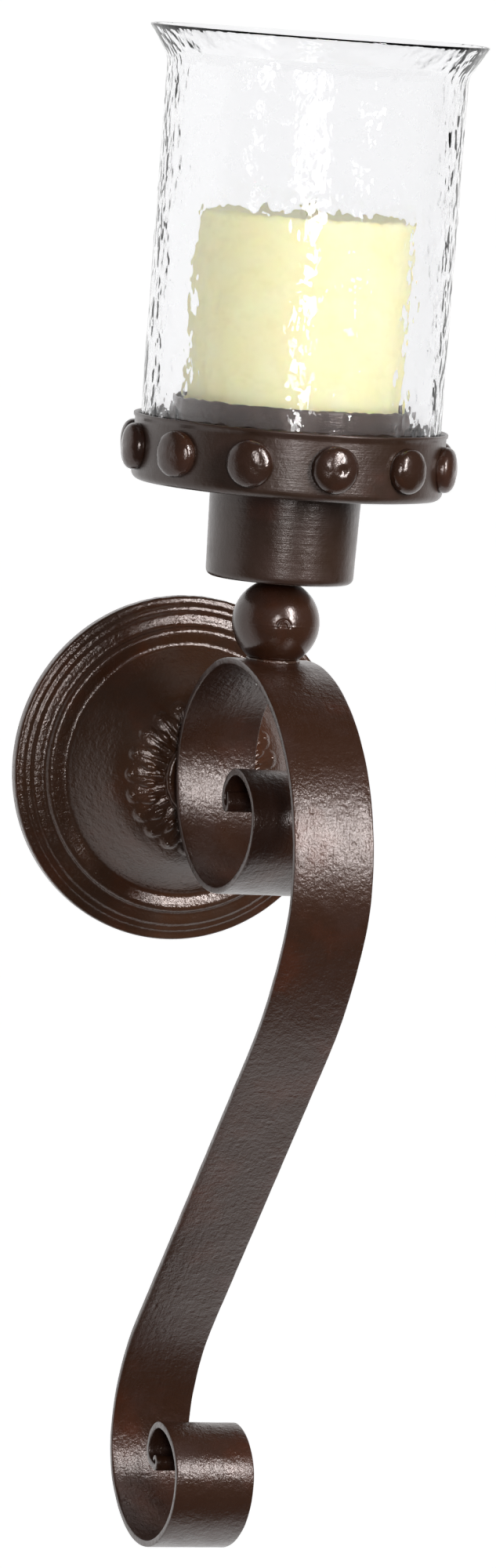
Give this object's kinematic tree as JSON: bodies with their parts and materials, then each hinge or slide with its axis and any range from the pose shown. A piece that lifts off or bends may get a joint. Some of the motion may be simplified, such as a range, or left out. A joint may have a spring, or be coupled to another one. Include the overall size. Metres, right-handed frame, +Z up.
{
  "type": "wall sconce candle holder",
  "caption": "Scrolled flat-bar arm on a round ridged wall plate, holding a studded tray with a pillar candle in a flared hurricane glass.",
  "frame": {"origin": "centre of the wall plate's back, on the wall plane, midway between the two keyhole slots", "axes": "+Z up along the wall, +Y into the wall so the sconce stands out towards -Y, +X to the right of someone facing the wall"},
  "size_m": [0.129, 0.1771, 0.5595],
  "materials": {
    "plate_bronze": "dark oil-rubbed bronze lacquer over pressed steel, satin gloss, fine orange peel",
    "arm_bronze": "dark oil-rubbed bronze lacquer over rolled flat bar, satin gloss, hammered fine texture",
    "cast_bronze": "dark oil-rubbed bronze lacquer over a cast ball with a parting line",
    "turned_bronze": "dark oil-rubbed bronze lacquer over spun steel with fine turning lines",
    "stud_bronze": "dark reddish bronze lacquer, glossier than the tray",
    "weld_bead": "lumpy weld bead under thin bronze lacquer",
    "zinc_steel": "zinc-plated steel",
    "tab_tin": "thin tinned steel",
    "clear_glass": "clear hammered glass with vertical raindrop dimples",
    "candle_wax": "pale cream wax, faintly mottled, soft sheen",
    "wick_cotton": "braided waxed cotton"
  },
  "bodies": {
    "sconce": {"wall_plate": "plate_bronze", "hanger_strap": "zinc_steel", "centre_bolt": "zinc_steel", "centre_washer": "zinc_steel", "arm_boss": "arm_bronze", "boss_weld": "weld_bead", "scroll_arm": "arm_bronze", "tie_rod": "zinc_steel", "lower_nut": "zinc_steel", "lower_washer": "zinc_steel", "ball": "cast_bronze", "ball_weld": "weld_bead", "drum_cup": "turned_bronze", "drum_sleeve": "zinc_steel", "gallery_tray": "turned_bronze", "gallery_studs": "stud_bronze", "candle_cup": "turned_bronze", "upper_washer": "zinc_steel", "upper_nut": "zinc_steel"},
    "chimney": {"glass_chimney": "clear_glass"},
    "candle_body": {"candle": "candle_wax", "wick": "wick_cotton", "wick_tab": "tab_tin"}
  },
  "joints": [
    {"name": "glass_lift", "type": "slide", "parent": "sconce", "child": "chimney", "axis": [0, 0, 1], "range_m": [0, 0.12]},
    {"name": "candle_lift", "type": "slide", "parent": "sconce", "child": "candle_body", "axis": [0, 0, 1], "range_m": [0, 0.165]}
  ]
}
